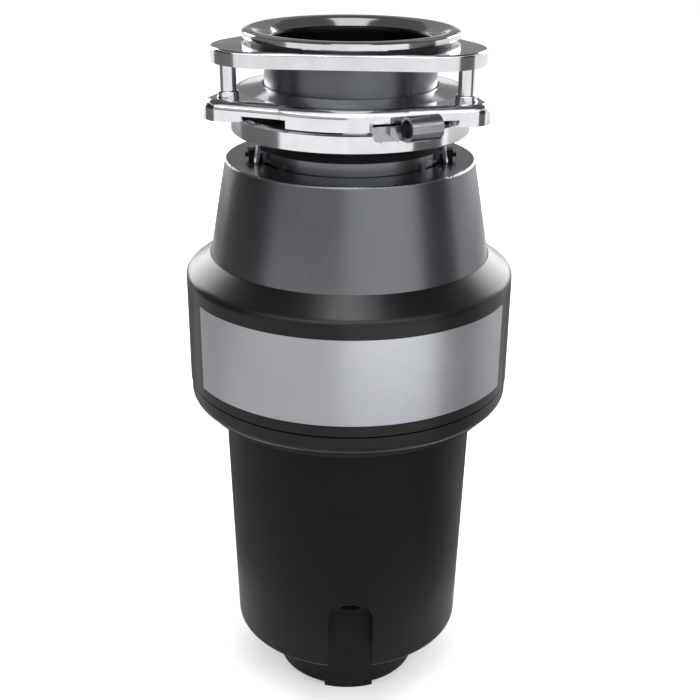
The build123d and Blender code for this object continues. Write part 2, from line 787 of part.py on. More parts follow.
def chamber_gasket():
    body = ring(drain_in_r + TIP_GAP, drain_flange_r - TIP_GAP, z_drain_top, z_hopper)
    for az in quarters:
        at = polar(chamber_bolt_circle_r, az)
        body -= disc(CHAMBER_BOLT_R + RUN_FIT, z_drain_top, z_hopper, at)
    return body


def chamber_bolts():
    group = Part()
    top = z_hopper + HOPPER_FLANGE_T
    for az in quarters:
        at = polar(chamber_bolt_circle_r, az)
        foot = z_drain + DRAIN_H - CHAMBER_BOLT_REACH
        head = top + CHAMBER_HEAD_H
        bolt = screw_down(CHAMBER_BOLT_R, CHAMBER_HEAD_R, CHAMBER_HEAD_H, foot, top, at)
        group += bolt - disc(CHAMBER_SOCKET_R, head - CHAMBER_SOCKET_H, head, at)
    return group


# Hopper, splash and grinding parts
def hopper():
    flange_top = z_hopper + HOPPER_FLANGE_T
    straight_top = z_hopper + HOPPER_STRAIGHT
    neck_foot = z_cover_top - NECK_BELOW
    body = turned([
        (hopper_in_r, z_hopper), (drain_flange_r, z_hopper), (drain_flange_r, flange_top),
        (hopper_r, flange_top), (hopper_r, straight_top), (NECK_R, neck_foot),
        (NECK_R, z_lip), (NECK_LIP_R, z_lip), (NECK_LIP_R, z_lip_top),
        (NECK_IN_R, z_lip_top), (NECK_IN_R, neck_foot), (hopper_in_r, straight_top)])
    core = turned([
        (0, z_hopper), (hopper_in_r, z_hopper), (hopper_in_r, straight_top),
        (NECK_IN_R, neck_foot), (NECK_IN_R, z_lip_top), (0, z_lip_top)])
    body += inlet_tube(INLET_R + INLET_SHOULDER, NECK_IN_R, INLET_SHOULDER_REACH) - core
    body += inlet_tube(INLET_R, INLET_SHOULDER_REACH, INLET_REACH)
    body -= inlet_tube(INLET_BORE_R, NECK_IN_R - CUT_PAST, INLET_REACH)
    for az in quarters:
        at = polar(chamber_bolt_circle_r, az)
        body -= disc(CHAMBER_BOLT_R + RUN_FIT, z_hopper, flange_top, at)
    rib_top = z_cover_top + RIB_H
    rib = radial_block(NECK_R - MERGE, NECK_R + RIB_OUT, RIB_W, z_cover_top, rib_top, 0.0)
    body += around(rib, (RIB_AZ, -RIB_AZ, 180.0 - RIB_AZ, RIB_AZ - 180.0))
    return body + around(neck_fin(), (FIN_AZ, -FIN_AZ, 180.0 - FIN_AZ, FIN_AZ - 180.0))


def neck_fin():
    z0 = z_cover_top + SLIDE_GAP
    step = z_lip - GASKET_SLEEVE_H - SLIDE_GAP
    leg = NECK_R + FIN_LEG
    toe = NECK_R + FIN_OUT
    out = NECK_R + GASKET_SLEEVE_T + TURN_GAP
    top = step + FIN_RISE
    points = [(NECK_R - MERGE, z0), (NECK_R - MERGE, step), (out, step), (out, top)]
    points += [(out + FIN_LEG, top), (toe, z0), (toe - FIN_LEG, z0), (out, step - FIN_LEG)]
    points += [(leg, step - FIN_LEG), (leg, z0)]
    face = Plane.YZ * make_face(Polyline(*points, close=True))
    return Rot(0, 0, 180.0) * (Pos(-FIN_W / 2, 0, 0) * extrude(face, FIN_W))


def inlet_tube(r, r0, r1):
    tube = Pos(0, -(r0 + r1) / 2, z_inlet) * Rot(90, 0, 0) * Cylinder(r, r1 - r0)
    return Rot(0, 0, INLET_AZ) * tube


def inlet_plug():
    disc_part = inlet_tube(INLET_BORE_R, PLUG_AT, PLUG_AT + PLUG_T)
    knob = inlet_tube(INLET_BORE_R / 3, PLUG_AT + PLUG_T, PLUG_AT + 2 * PLUG_T)
    return disc_part + knob


def shredder_ring():
    body = ring(shred_in_r, shred_in_r + SHRED_WALL, z_hopper, z_hopper + SHRED_H)
    for count in range(SHRED_TEETH):
        az = count * 360.0 / SHRED_TEETH
        deep = shred_in_r + SHRED_SLOT_DEPTH
        low = z_hopper + SHRED_FOOT
        top = z_hopper + SHRED_H
        body -= radial_block(shred_in_r - TIP_GAP, deep, SHRED_SLOT_W, low, top, az)
    return body


def turntable():
    boss_foot = z_table - TABLE_HUB_H
    boss_top = z_table_top + TABLE_HUB_H
    body = disc(table_r, z_table, z_table_top) + disc(TABLE_HUB_R, boss_foot, boss_top)
    for count in range(TABLE_HOLES):
        az = (count + 0.5) * 360.0 / TABLE_HOLES
        body -= disc(TABLE_HOLE_R, z_table, z_table_top, polar(table_hole_circle_r, az))
    for az in (90.0, -90.0):
        body -= disc(PIN_R, z_table, z_table_top, polar(lug_circle_r, az))
    return body - disc(SHAFT_R, boss_foot, boss_top)


def hub_nut():
    z0 = z_table_top + TABLE_HUB_H
    nut = Pos(0, 0, z0) * extrude(RegularPolygon(NUT_R, 6), NUT_H)
    cap = disc(NUT_R - NUT_CAP_IN, z0 + NUT_H, z0 + NUT_H + NUT_CAP_T)
    return nut + cap - disc(SHAFT_R, z0, z0 + NUT_H - NUT_CAP_T)


def lug_pins():
    group = Part()
    neck = z_lug + LUG_H + LUG_LIFT
    for az in (90.0, -90.0):
        at = polar(lug_circle_r, az)
        group += disc(PIN_R, z_table, neck, at) + disc(PIN_HEAD_R, neck, neck + PIN_HEAD_H, at)
    return group


def impeller_lug():
    tail = lug_circle_r + LUG_TAIL
    at = (0, -lug_circle_r)
    tip = (0, -tail)
    body = disc(LUG_BOSS_R, z_lug, z_lug + LUG_H, at)
    lean = acos((LUG_BOSS_R - LUG_TAIL_R) / LUG_TAIL)
    dx = sin(lean)
    dy = cos(lean)
    wide = LUG_BOSS_R * dx
    slim = LUG_TAIL_R * dx
    y0 = -lug_circle_r - LUG_BOSS_R * dy
    y1 = -tail - LUG_TAIL_R * dy
    web = make_face(Polyline((wide, y0), (-wide, y0), (-slim, y1), (slim, y1), close=True))
    body += Pos(0, 0, z_lug) * extrude(web, LUG_H)
    body += disc(LUG_TAIL_R, z_lug, z_lug + LUG_H + LUG_TOE_H, tip)
    return body - disc(PIN_R + RUN_FIT, z_lug, z_lug + LUG_H, at)


def impeller_lug_a():
    return Rot(0, 0, 90.0) * impeller_lug()


def impeller_lug_b():
    return Rot(0, 0, -90.0) * impeller_lug()


# Collar, name plate and upper cover
def collar_lower_ring():
    top = z_collar + LOWER_RING_H
    lip_top = z_collar + LOWER_LIP_H
    lip_r = COLLAR_R - LOWER_LIP_IN
    ring_r = COLLAR_R - LOWER_RING_IN
    inner = HOUSING_TOP_R + TURN_GAP
    floor = lip_top + COLLAR_WALL
    lap_out = collar_in_r - SLIDE_GAP
    lap_in = lap_out - LAP_T
    lap_top = top + LAP_H
    body = turned([
        (inner, z_collar), (lip_r, z_collar), (lip_r, lip_top), (ring_r, lip_top),
        (ring_r, top), (lap_out, top), (lap_out, lap_top), (lap_in, lap_top),
        (lap_in, floor), (inner, floor)])
    circles = body.edges().filter_by(GeomType.CIRCLE)
    low = circles.sort_by(lambda edge: abs(edge.center().Z - lip_top) - edge.radius)
    body = fillet(low[0], LOWER_ROUND)
    side = OUTLET_EAR_X + OUTLET_EAR_R + TIP_GAP
    return body - block(-side, side, drain_in_r, COLLAR_R + TIP_GAP, top, lap_top)


def collar_band():
    corner = z_shoulder + SHOULDER_CORNER
    slope_r = cover_foot_r + SLIDE_GAP
    seat = cover_foot_r - COVER_WALL
    body = turned([
        (collar_in_r, z_band), (COLLAR_R, z_band), (COLLAR_R, corner), (slope_r, z_cover),
        (seat, z_cover), (seat, z_cover - COLLAR_WALL), (collar_in_r, z_shoulder - COLLAR_WALL)])
    circles = body.edges().filter_by(GeomType.CIRCLE)
    high = circles.sort_by(lambda edge: abs(edge.center().Z - corner) - edge.radius)
    body = fillet(high[0], SHOULDER_ROUND)
    tab_top = z_hopper + HOPPER_FLANGE_T
    for az in quarters:
        a0 = az - TAB_SPREAD
        body += arc_block(drain_flange_r, collar_in_r + MERGE, z_hopper, tab_top, a0, az + TAB_SPREAD)
    z0 = z_band + PLATE_UP
    half = PLATE_ARC / 2
    past = COLLAR_R + CUT_PAST
    body -= arc_block(COLLAR_R - PLATE_RECESS, past, z0, z0 + PLATE_H, -half, half)
    side = OUTLET_EAR_X + OUTLET_EAR_R + TIP_GAP
    top = z_outlet + OUTLET_BORE_R + OUTLET_WALL + OUTLET_RIM + TIP_GAP
    return body - block(-side, side, drain_in_r, past, z_band, top)


def name_plate():
    z0 = z_band + PLATE_UP
    half = PLATE_ARC / 2
    foot = COLLAR_R - PLATE_RECESS
    return arc_block(foot, foot + PLATE_SHEET, z0, z0 + PLATE_H, -half, half)


def upper_cover():
    outer = [(0, z_cover), (cover_foot_r, z_cover), (cover_top_r, z_cover_top)]
    body = turned(outer + [(0, z_cover_top)])
    body = fillet(body.edges().group_by(Axis.Z)[-1], COVER_EDGE)
    under = z_cover_top - COVER_WALL
    inner = [(0, z_cover), (cover_foot_r - COVER_WALL, z_cover), (cover_top_r - COVER_WALL, under)]
    body -= turned(inner + [(0, under)])
    body -= disc(NECK_R + LOOSE_GAP, under, z_cover_top)
    return body - inlet_tube(INLET_R + INLET_SHOULDER + TURN_GAP, NECK_R, INLET_REACH)


def sound_liner():
    z0 = z_hopper + HOPPER_FLANGE_T + CHAMBER_HEAD_H + TIP_GAP
    z1 = z_hopper + HOPPER_STRAIGHT
    z2 = z_cover_top - NECK_BELOW - TIP_GAP
    low = hopper_r + TURN_GAP
    high = NECK_R + LINER_GAP
    inside = [(high, z2), (low, z1)]
    outside = [(low, z0), (low + LINER_T, z0), (low + LINER_T, z1), (high + LINER_T, z2)]
    body = turned(outside + inside)
    return body - inlet_tube(INLET_R + INLET_SHOULDER + TURN_GAP, NECK_IN_R, INLET_REACH)


def cover_clips():
    z1 = z_cover_top + CLIP_H
    r1 = NECK_R + CLIP_OUT
    clip = radial_block(NECK_R - TIP_GAP, r1, CLIP_W, z_cover_top, z1, 0.0)
    nub_z = z_cover_top + (CLIP_H - NUB_H) / 2
    clip += radial_block(r1 - MERGE, r1 + NUB_OUT, NUB_W, nub_z, nub_z + NUB_H, 0.0)
    clip -= disc(NECK_R, z_cover_top, z1)
    return around(clip, (CLIP_AZ, -CLIP_AZ, 180.0 - CLIP_BACK_AZ, CLIP_BACK_AZ - 180.0))


# Sink mount, from the rubber gasket up
def mount_gasket():
    out = NECK_LIP_R + GASKET_T
    sleeve = NECK_R + GASKET_SLEEVE_T
    under = z_lip - GASKET_T
    return turned([
        (NECK_R, z_lip - GASKET_SLEEVE_H), (sleeve, z_lip - GASKET_SLEEVE_H), (sleeve, under),
        (out, under), (out, z_sleeve), (NECK_IN_R, z_sleeve), (NECK_IN_R, z_lip_top),
        (NECK_LIP_R, z_lip_top), (NECK_LIP_R, z_lip), (NECK_R, z_lip)])


def lever_cylinder(r, length):
    tube = Pos(0, -LEVER_R, z_lock_top + LEVER_UP) * Rot(0, 90, 0) * Cylinder(r, length)
    return Rot(0, 0, LEVER_AZ) * tube


def lock_hook(az, plate_in):
    z0 = z_lock_top - HOOK_DROP
    z1 = z_lock_top + BRACKET_H
    half = HOOK_W / 2
    points = [(-half, z1), (0, z1), (half, z0), (-half, (z0 + z1) / 2)]
    face = Plane.XZ * make_face(Polyline(*points, close=True))
    hook = Pos(0, -plate_in, 0) * extrude(face, BRACKET_T + HOOK_OUT)
    return Rot(0, 0, az) * hook


def lock_ring():
    inner = LOCK_R - LOCK_WALL
    lip = z_lock + LOCK_FALL
    body = turned([
        (LOCK_LIP_IN_R, lip), (inner, lip), (inner, z_lock), (LOCK_R - LOCK_EDGE, z_lock),
        (LOCK_R, z_lock + LOCK_EDGE), (LOCK_R, z_lock_top - LOCK_EDGE),
        (LOCK_R - LOCK_EDGE, z_lock_top), (inner, z_lock_top), (inner, lip + LOCK_LIP_T),
        (LOCK_LIP_IN_R, lip + LOCK_LIP_T)])
    end = RAMP_AZ1 - RAMP_STOP
    tab_out = TAB_IN_R + TAB_T
    tab_top = z_lock_top + TAB_TOP
    hook_r = skirt_in_r - SLIDE_GAP
    for turn in thirds:
        a0 = turn + end - TAB_ARC
        a1 = turn + end
        body += arc_block(TAB_IN_R, inner + MERGE, z_lock_top - TAB_ROOT_H, z_lock_top, a0, a1)
        body += arc_block(TAB_IN_R, tab_out, z_lock_top - MERGE, tab_top, a0, a1)
        body += arc_block(tab_out - MERGE, hook_r, tab_top - TAB_HOOK_T, tab_top, a0, a1)
    return body


def lever_bracket():
    plate_in = SKIRT_R + TURN_GAP
    plate_out = plate_in + BRACKET_T
    foot = z_lock_top - BRACKET_FOOT_H
    ledge = z_lock_top - LOCK_EDGE
    plate_top = z_lock_top + BRACKET_H
    body = arc_block(LOCK_R, plate_out, foot, ledge, BRACKET_AZ0, BRACKET_AZ1)
    body += arc_block(plate_in, plate_out, foot, plate_top, BRACKET_AZ0, BRACKET_AZ1)
    for az in HOOK_AZ:
        body += lock_hook(az, plate_in)
    width = LEVER_L - 2 * SADDLE_INSET
    saddle = radial_block(plate_in + MERGE, LEVER_R, width, foot, plate_top, LEVER_AZ)
    return body + (saddle - lever_cylinder(LEVER_OUT_R, LEVER_L) - saddle_cut())


def saddle_cut():
    reach = LEVER_R + CUT_PAST
    near = LEVER_R - LEVER_OUT_R / 2
    return radial_block(near, reach, LEVER_L, z_lock, z_lock_top + LEVER_UP, LEVER_AZ)


def lever_tube():
    return lever_cylinder(LEVER_OUT_R, LEVER_L) - lever_cylinder(LEVER_BORE_R, LEVER_L)


def ear_outline():
    shape = Circle(SKIRT_R)
    root_r = EAR_CIRCLE_R * cos(radians(EAR_SPREAD)) + EAR_R
    for az in ear_azimuths:
        at = polar(EAR_CIRCLE_R, az)
        shape += Pos(at[0], at[1]) * Circle(EAR_R)
        first = polar(root_r, az - EAR_SPREAD)
        last = polar(root_r, az + EAR_SPREAD)
        off_first = polar(EAR_R, az - EAR_SPREAD)
        off_last = polar(EAR_R, az + EAR_SPREAD)
        far_last = (at[0] + off_last[0], at[1] + off_last[1])
        far_first = (at[0] + off_first[0], at[1] + off_first[1])
        shape += make_face(Polyline(first, last, far_last, far_first, close=True))
    return shape


def mounting_ring():
    slab = Pos(0, 0, z_slab) * extrude(ear_outline(), FLANGE_SLAB_H)
    slab = fillet(slab.faces().sort_by(Axis.Z)[-1].outer_wire().edges(), FLANGE_ROUND)
    collar_in = SLEEVE_R + TURN_GAP
    collar_out = collar_in + HUB_WALL
    foot = z_snap + SNAP_T
    hub = [(collar_in, foot), (collar_out + HUB_FOOT, foot), (HUB_SLOPE_R, z_slab_top - TIP_GAP)]
    hub += [(HUB_SLOPE_R, z_slab_top), (collar_in + HUB_RIM, z_hub_top), (collar_in, z_hub_top)]
    body = slab + turned(hub)
    ear_foot = z_slab - EAR_DROP
    for az in ear_azimuths:
        at = polar(EAR_CIRCLE_R, az)
        body += disc(EAR_R, ear_foot, z_slab + MERGE, at) - disc(SKIRT_R, ear_foot, z_slab)
        body += disc(EAR_BOSS_R, z_slab_top - TIP_GAP, z_ear_top, at)
    body -= ring(collar_out, skirt_in_r, z_skirt - CUT_PAST, z_slab_top - FLANGE_ROOF)
    body -= disc(collar_in, foot - CUT_PAST, z_hub_top)
    body -= disc(collar_out + MERGE, z_snap - CUT_PAST, foot)
    hook_under = z_lock_top + TAB_TOP - TAB_HOOK_T - LOCK_GAP
    span = (RAMP_AZ1 - RAMP_AZ0) / LEDGE_STEPS
    for turn in thirds:
        a0 = turn + RAMP_AZ0
        body += arc_block(skirt_in_r, SKIRT_R, z_skirt, z_slab + MERGE, a0, turn + RAMP_AZ1)
        for step in range(LEDGE_STEPS):
            top = hook_under - LEDGE_DROP * (LEDGE_STEPS - 1 - step) / (LEDGE_STEPS - 1)
            s0 = a0 + step * span
            body += arc_block(LEDGE_IN_R, skirt_in_r + MERGE, top - LEDGE_T, top, s0, s0 + span)
    for az in ear_azimuths:
        body -= disc(CLAMP_R + RUN_FIT, ear_foot, z_ear_top, polar(EAR_CIRCLE_R, az))
    return body


def snap_ring():
    groove = SLEEVE_R - SNAP_DEPTH
    out = SLEEVE_R + SNAP_OUT
    body = ring(groove, out, z_snap, z_snap + SNAP_T)
    near = groove - TIP_GAP
    return body - radial_block(near, out + TIP_GAP, SNAP_SPLIT, z_snap, z_snap + SNAP_T, 180.0)


def screw_collars():
    group = Part()
    top = z_ear_top + COLLAR_NUT_H
    for az in ear_azimuths:
        at = polar(EAR_CIRCLE_R, az)
        nut = disc(COLLAR_NUT_R, z_ear_top, top, at)
        nut = fillet(nut.edges().group_by(Axis.Z)[-1], COLLAR_NUT_ROUND)
        group += nut - disc(CLAMP_R + RUN_FIT, z_ear_top, top, at)
    return group


def clamp_screws():
    group = Part()
    foot = z_slab - EAR_DROP + TIP_GAP
    tip = z_support + CLAMP_TIP_H
    half = CLAMP_SLOT_W / 2
    slot = block(-CLAMP_R, CLAMP_R, -half, half, foot, foot + CLAMP_SLOT_H)
    for az in ear_azimuths:
        at = polar(EAR_CIRCLE_R, az)
        screw = disc(CLAMP_R, foot, z_support, at) + disc(CLAMP_TIP_R, z_support, tip, at)
        group += screw - Pos(at[0], at[1], 0) * slot
    return group


def corner_point(az, side):
    at = polar(SUPPORT_CORNER_CIRCLE_R, az)
    off = polar(SUPPORT_CORNER_R, az + side)
    return (at[0] + off[0], at[1] + off[1])


def support_outline():
    tip_r = SUPPORT_CORNER_CIRCLE_R + SUPPORT_CORNER_R
    edges = []
    for count, az in enumerate(ear_azimuths):
        first = corner_point(az, -HALF_THIRD)
        last = corner_point(az, HALF_THIRD)
        following = corner_point(ear_azimuths[count - 2], -HALF_THIRD)
        edges.append(ThreePointArc(first, polar(tip_r, az), last))
        edges.append(Line(last, following))
    return make_face(edges)


def support_plate():
    body = Pos(0, 0, z_support) * extrude(support_outline(), SUPPORT_T)
    body = fillet(body.faces().sort_by(Axis.Z)[-1].outer_wire().edges(), SUPPORT_ROUND)
    hole = SLEEVE_R + SLIDE_GAP
    edge = z_support_top - SUPPORT_EDGE
    body -= turned([
        (0, z_support), (hole, z_support), (hole, edge), (hole + SUPPORT_EDGE, z_support_top),
        (0, z_support_top)])
    for az in ear_azimuths:
        at = polar(EAR_CIRCLE_R, az)
        body -= disc(CLAMP_TIP_R, z_support, z_support + CLAMP_TIP_H, at)
    return body


def sink_flange():
    lip_top = z_lip_under + LIP_H
    wall_top = z_lip_under + LIP_WALL_H
    groove = SLEEVE_R - SNAP_DEPTH
    snap_top = z_snap + SNAP_T
    bevel = (LIP_R - LIP_BEVEL, wall_top + LIP_EDGE)
    throat = (sleeve_in_r, z_lip_under - LIP_H)
    with BuildLine() as outline:
        Polyline(
            (sleeve_in_r, z_sleeve), (SLEEVE_R, z_sleeve), (SLEEVE_R, z_snap), (groove, z_snap),
            (groove, snap_top), (SLEEVE_R, snap_top), (SLEEVE_R, z_lip_under - LIP_NECK),
            (SLEEVE_R + LIP_NECK, z_lip_under), (LIP_R - LIP_EDGE, z_lip_under),
            (LIP_R, z_lip_under + LIP_EDGE), (LIP_R, wall_top), bevel)
        Spline(
            bevel, (LIP_R - LIP_CREST_IN, lip_top),
            (LIP_R - FUNNEL_MID_IN, lip_top - FUNNEL_MID_DROP),
            (sleeve_in_r + FUNNEL_FOOT_OUT, z_lip_under - FUNNEL_FOOT_DROP), throat,
            tangents=((-1.0, 0.45), (0.0, -1.0)))
        Line(throat, (sleeve_in_r, z_sleeve))
    return revolve(Plane.XZ * make_face(outline.line), Axis.Z)


def flange_gasket():
    flat = SUPPORT_CORNER_CIRCLE_R * cos(radians(HALF_THIRD)) + SUPPORT_CORNER_R
    return ring(SINK_GASKET_IN_R, flat - TIP_GAP, z_support_top, z_lip_under)


def splash_guard():
    out = sleeve_in_r
    wall = out - GUARD_WALL
    z0 = z_guard - GUARD_H
    sag = z0 - GUARD_SAG
    body = turned([
        (wall, z_guard), (out, z_guard), (out, z0), (GUARD_HOLE_R, sag), (GUARD_HOLE_R, sag + GUARD_T),
        (wall, z0 + GUARD_T)])
    for count in range(GUARD_SLITS):
        az = (count + 0.5) * 360.0 / GUARD_SLITS
        near = GUARD_HOLE_R - TIP_GAP
        body -= radial_block(near, GUARD_SLIT_R, GUARD_SLIT_W, sag - TIP_GAP, z_guard, az)
    return body


NODES = (
    base_cover, base_screws, reset_button, reset_spring, overload_switch, terminal_block,
    motor_housing, cable_chute, cable_gland, lower_end_bell, lower_bearing, stator_core,
    stator_windings, rotor_core, rotor_end_rings, motor_shaft, through_bolts, capacitor,
    drain_chamber, upper_bearing, shaft_seal, water_slinger, chamber_gasket, chamber_bolts,
    hopper, inlet_plug, shredder_ring, turntable, hub_nut, lug_pins, impeller_lug_a,
    impeller_lug_b, collar_lower_ring, collar_band, name_plate, upper_cover, sound_liner,
    cover_clips, mount_gasket, lock_ring, lever_bracket, lever_tube, mounting_ring, snap_ring,
    screw_collars, clamp_screws, support_plate, sink_flange, flange_gasket, splash_guard)

os.makedirs("parts", exist_ok=True)
for node in NODES:
    export_step(node(), "parts/" + node.__name__ + ".step")
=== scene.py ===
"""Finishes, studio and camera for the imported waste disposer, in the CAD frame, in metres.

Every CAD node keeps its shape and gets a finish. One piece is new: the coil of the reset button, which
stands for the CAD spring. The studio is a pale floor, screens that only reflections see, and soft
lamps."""
from math import pi, radians
import bmesh
import bpy
import numpy as np
from mathutils import Matrix, Vector


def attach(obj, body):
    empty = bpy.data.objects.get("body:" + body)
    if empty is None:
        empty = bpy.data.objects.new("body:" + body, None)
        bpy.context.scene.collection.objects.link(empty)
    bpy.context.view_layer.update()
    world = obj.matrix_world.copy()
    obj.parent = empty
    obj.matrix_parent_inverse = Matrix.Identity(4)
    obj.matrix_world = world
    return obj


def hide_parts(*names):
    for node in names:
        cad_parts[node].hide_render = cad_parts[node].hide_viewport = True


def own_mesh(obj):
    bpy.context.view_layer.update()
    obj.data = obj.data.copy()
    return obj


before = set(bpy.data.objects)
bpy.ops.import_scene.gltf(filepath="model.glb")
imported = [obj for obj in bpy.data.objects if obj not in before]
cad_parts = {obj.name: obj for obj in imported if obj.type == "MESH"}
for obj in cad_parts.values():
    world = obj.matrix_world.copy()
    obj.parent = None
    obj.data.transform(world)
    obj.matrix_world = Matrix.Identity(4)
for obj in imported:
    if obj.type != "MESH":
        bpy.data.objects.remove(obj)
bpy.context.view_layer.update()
MM = 0.001
WHITE = (1.0, 1.0, 1.0, 1.0)


def linear(code):
    """sRGB hex to linear: c / 12.92 up to 0.04045, and ((c + 0.055) / 1.055) ** 2.4 above it."""
    c = np.array([int(code[i:i + 2], 16) for i in (1, 3, 5)]) / 255.0
    c = np.where(c <= 0.04045, c / 12.92, ((c + 0.055) / 1.055) ** 2.4)
    return (*c.tolist(), 1.0)


def add(tree, kind, inputs=None, **settings):
    """Adds one node with its settings, and gives each input a value or a link from a socket."""
    node = tree.nodes.new(kind)
    for name, value in settings.items():
        setattr(node, name, value)
    for name, value in (inputs or {}).items():
        if isinstance(value, bpy.types.NodeSocket):
            tree.links.new(value, node.inputs[name])
        else:
            node.inputs[name].default_value = value
    return node


def empty_tree(owner):
    """The node tree of a new material or world, with nothing in it."""
    owner.use_nodes = True
    owner.node_tree.nodes.clear()
    return owner.node_tree


# Finishes. Noise values gather round the middle: these spans of them are spread out from 0 to 1
PATCH_SPAN = (0.3, 0.7)
BLEND_SPAN = (0.12, 0.42)


def finish(name, dark, light, rough, grain_mm, relief_mm, stretch=(1.0, 1.0, 1.0), patch_mm=35.0,
           below=None, bore=None, **shader):
    """One finish: two close colours mixed by wide patches times grain, roughness between two values by
    the patches, and a bump of grain_mm spots, relief_mm high. stretch divides the grain's size along
    each axis, so a small number draws the grain out along that axis. below gives a height in metres, and
    under it a darker colour, which is painted shade, and the roughness that the piece has there. bore
    goes with it, and gives a radius and a near black colour inside that radius, painted shade too, also
    only under that height."""
    material = bpy.data.materials.new(name)
    tree = empty_tree(material)
    place = add(tree, "ShaderNodeTexCoord").outputs["Object"]
    patches = add(tree, "ShaderNodeTexNoise", {
        "Vector": place, "Scale": 1.0 / (patch_mm * MM), "Detail": 3.0, "Roughness": 0.55})
    drawn = add(tree, "ShaderNodeMapping", {"Vector": place, "Scale": stretch})
    grain = add(tree, "ShaderNodeTexNoise", {
        "Vector": drawn.outputs["Vector"], "Scale": 1.0 / (grain_mm * MM), "Detail": 2.0})
    blend = add(tree, "ShaderNodeMath", {
        0: patches.outputs["Fac"], 1: grain.outputs["Fac"]}, operation="MULTIPLY")
    share = add(tree, "ShaderNodeMapRange", {
        "Value": blend.outputs[0], "From Min": BLEND_SPAN[0], "From Max": BLEND_SPAN[1]})
    colour = add(tree, "ShaderNodeMix", {
        "Factor": share.outputs["Result"], "A": linear(dark), "B": linear(light)},
        data_type="RGBA").outputs["Result"]
    roughness = add(tree, "ShaderNodeMapRange", {
        "Value": patches.outputs["Fac"], "From Min": PATCH_SPAN[0], "From Max": PATCH_SPAN[1],
        "To Min": rough[0], "To Max": rough[1]}).outputs["Result"]
    bump = add(tree, "ShaderNodeBump", {
        "Height": grain.outputs["Fac"], "Distance": relief_mm * MM, "Strength": 1.0})
    # Under the lip's foot the colour is painted shade: a darker grey on the sleeve, near black in its bore
    if below:
        foot_z, low_shade_colour, low_rough = below
        bore_r, bore_shade_colour = bore
        height = add(tree, "ShaderNodeSeparateXYZ", {"Vector": place}).outputs["Z"]
        under = add(tree, "ShaderNodeMath", {0: height, 1: foot_z}, operation="LESS_THAN").outputs[0]
        level = add(tree, "ShaderNodeVectorMath", {0: place, 1: (1.0, 1.0, 0.0)}, operation="MULTIPLY")
        out = add(tree, "ShaderNodeVectorMath", {0: level.outputs["Vector"]}, operation="LENGTH")
        inside = add(tree, "ShaderNodeMath", {0: out.outputs["Value"], 1: bore_r}, operation="LESS_THAN")
        painted_shade = add(tree, "ShaderNodeMix", {
            "Factor": inside.outputs[0], "A": linear(low_shade_colour), "B": linear(bore_shade_colour)},
            data_type="RGBA").outputs["Result"]
        colour = add(tree, "ShaderNodeMix", {
            "Factor": under, "A": colour, "B": painted_shade}, data_type="RGBA").outputs["Result"]
        roughness = add(tree, "ShaderNodeMix", {
            "Factor": under, "A": roughness, "B": low_rough}).outputs["Result"]
    values = {"Base Color": colour, "Roughness": roughness, "Normal": bump.outputs["Normal"]}
    values.update({key.replace("_", " "): value for key, value in shader.items()})
    coat = add(tree, "ShaderNodeBsdfPrincipled", values)
    add(tree, "ShaderNodeOutputMaterial", {"Surface": coat.outputs["BSDF"]})
    return material


# The real grain of most of these is too fine to show in the render, so it is drawn about 1 mm wide.
# Polished stainless steel: clear reflections, with the faint haze that a buffing wheel leaves
POLISH = dict(dark="#D0D1D4", light="#DADBDE", rough=(0.10, 0.15), grain_mm=6.0, relief_mm=0.0004,
              Metallic=1.0)
polished = finish("polished_stainless", **POLISH)
# The flange has the same polish on its lip. The sleeve below it is satin and painted a darker grey as
# the shade under the support plate, and its bore is painted near black as the shade inside it
LIP_FOOT_Z = 0.3697
SLEEVE_BORE_R = 0.0427
flange = finish("polished_lip_satin_shaded_sleeve", **POLISH,
                below=(LIP_FOOT_Z, "#5E6064", 0.30), bore=(SLEEVE_BORE_R, "#1C1C1E"))
# Satin gunmetal coat on steel: soft broad reflections, dark where the room is dark
gunmetal = finish("gunmetal_coat", "#6C6E72", "#707276", rough=(0.26, 0.30), grain_mm=0.9,
                  relief_mm=0.0006, Metallic=1.0)
# Satin black ABS, moulded: nearly black in front, soft light on the rounded edges
collar_black = finish("satin_black_abs", "#0B0B0D", "#0F0F11", rough=(0.28, 0.33), grain_mm=0.9,
                      relief_mm=0.001, Specular_IOR_Level=0.3)
# Brushed aluminium sheet: fine level lines under a soft sheen
brushed = finish("brushed_aluminium", "#B0B2B7", "#BABCC1", rough=(0.34, 0.38), grain_mm=0.5,
                 relief_mm=0.0008, stretch=(0.03, 0.03, 1.0), Metallic=1.0)
# Powder coat on the motor shell: matt black with a fine orange peel
powder = finish("black_powder_coat", "#08080A", "#0C0C0E", rough=(0.42, 0.50), grain_mm=1.1,
                relief_mm=0.006, Specular_IOR_Level=0.15)
# Moulded black nylon: matt, slightly spark-eroded
nylon = finish("black_nylon", "#0A0A0C", "#0E0E10", rough=(0.48, 0.58), grain_mm=1.0,
               relief_mm=0.008, Specular_IOR_Level=0.16)
# Grey coat on the hopper's neck: satin metal, like the cover but lighter
neck = finish("grey_coated_steel", "#75777B", "#7B7D81", rough=(0.24, 0.30), grain_mm=1.2,
              relief_mm=0.0006, Metallic=1.0)
# Black rubber: soft and dull, a little paler in patches
rubber = finish("black_rubber", "#060607", "#0D0D0E", rough=(0.62, 0.75), grain_mm=0.7,
                relief_mm=0.01, Specular_IOR_Level=0.2)
# Sink gasket: dark grey pressed fibre, dull, with short pale fibres
fibre = finish("pressed_fibre", "#333335", "#414143", rough=(0.50, 0.60), grain_mm=1.2,
               relief_mm=0.01, stretch=(1.0, 1.0, 0.3), Specular_IOR_Level=0.3)
# Cut steel tube: satin, with faint draw marks
tube_steel = finish("drawn_steel_tube", "#94969A", "#9EA0A4", rough=(0.20, 0.26), grain_mm=0.8,
                    relief_mm=0.001, Metallic=1.0)
# Red ABS button: glossy, with the mould's faint grain
red = finish("red_abs", "#A3120F", "#B81713", rough=(0.18, 0.26), grain_mm=1.2, relief_mm=0.004)
